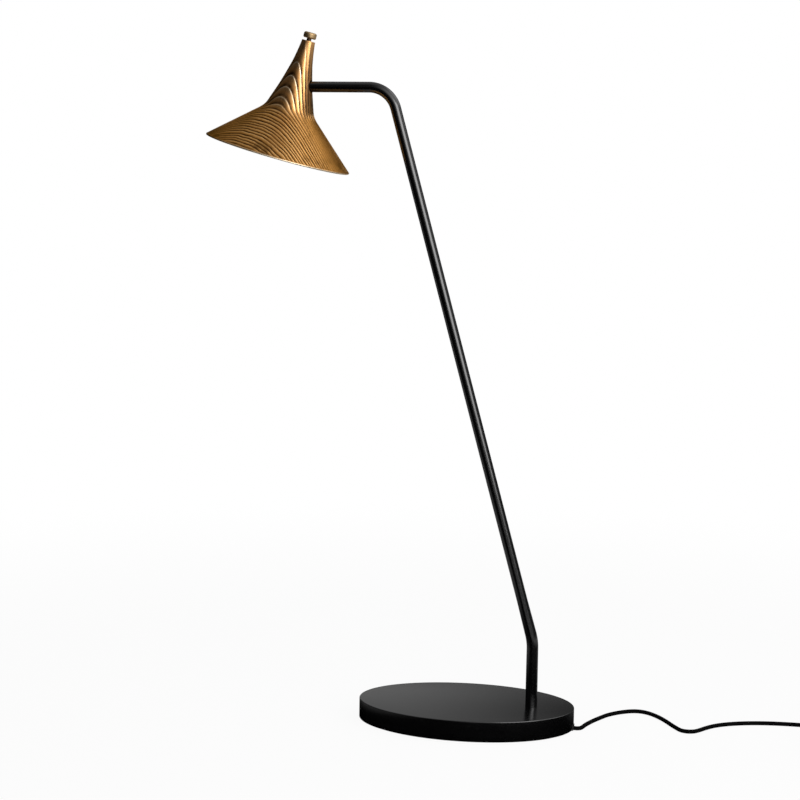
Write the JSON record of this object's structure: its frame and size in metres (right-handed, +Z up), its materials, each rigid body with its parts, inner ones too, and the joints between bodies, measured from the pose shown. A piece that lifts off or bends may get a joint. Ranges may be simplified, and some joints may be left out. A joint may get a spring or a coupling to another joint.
{
  "type": "table lamp",
  "caption": "Table lamp with a horn-shaped cast brass shade on a bent black tubular stem, an elliptical base, a push-and-turn dimmer knob and a thin cord.",
  "frame": {"origin": "centre of the base pad on the table, under the middle of the elliptical base", "axes": "+Z up, +X along the base toward the stem and the cord, the head hangs over -X"},
  "size_m": [0.5053, 0.1663, 0.4975],
  "materials": {
    "brass_cast": "satin",
    "brass_turned": "satin",
    "black_paint": "satin",
    "steel": "satin",
    "blackened_steel": "satin",
    "nickel_pin": "polished",
    "black_rubber": "matte",
    "cord_jacket": "satin",
    "lead_jacket": "satin",
    "black_plastic": "satin",
    "white_plastic": "satin",
    "aluminium": "satin",
    "bright_aluminium": "polished",
    "opal": "matte",
    "emitter": "satin",
    "circuit_board": "satin",
    "ferrite": "matte"
  },
  "bodies": {
    "stand": {"base_body": "black_paint", "base_pad": "black_rubber", "base_cover": "steel", "cover_screws": "steel", "stem_tube": "black_paint", "foot_spigot": "steel", "stem_washer": "steel", "stem_nut": "steel", "stem_lead": "lead_jacket", "terminal_block": "white_plastic", "terminal_screws": "brass_turned", "cord_clamp": "steel", "clamp_screws": "steel", "cord_grommet": "black_rubber", "cord_inner": "cord_jacket", "arm_spindle": "steel", "friction_washer": "blackened_steel", "swivel_nut": "steel", "cord_run": "cord_jacket", "cord_coil": "cord_jacket", "cord_tail": "cord_jacket", "cord_tie": "black_rubber", "driver_boot": "black_rubber", "driver_case": "black_plastic", "driver_plate": "black_plastic", "driver_board": "circuit_board", "driver_core": "ferrite", "plug_pins": "nickel_pin"},
    "head": {"shade": "brass_cast", "swivel_bush": "white_plastic", "stop_pin": "steel", "led_carrier": "aluminium", "carrier_screws": "steel", "led_board": "aluminium", "led_chip": "emitter", "reflector": "bright_aluminium", "diffuser": "opal", "lens_ring": "black_plastic", "head_leads": "lead_jacket", "dimmer_can": "steel", "dimmer_floor": "circuit_board", "dimmer_sleeve": "brass_turned", "guide_bush": "black_plastic", "return_spring": "steel"},
    "plunger": {"press_plunger": "white_plastic"},
    "knob": {"knob_shaft": "blackened_steel", "knob": "brass_turned"}
  },
  "joints": [
    {"name": "head_swivel", "type": "hinge", "parent": "stand", "child": "head", "pos_m": [-0.13335, 0, 0.458], "axis": [1, 0, 0], "range_deg": [-90, 90]},
    {"name": "knob_press", "type": "slide", "parent": "head", "child": "plunger", "axis": [-0.2672, 0, -0.9636], "range_m": [0, 0.001], "stiffness_N_per_m": 600, "springref_m": -0.002, "deforming": ["return_spring"]},
    {"name": "knob_turn", "type": "hinge", "parent": "plunger", "child": "knob", "pos_m": [-0.13335, 0, 0.458], "axis": [0.2672, 0, 0.9636], "range_deg": [-150, 150]}
  ]
}
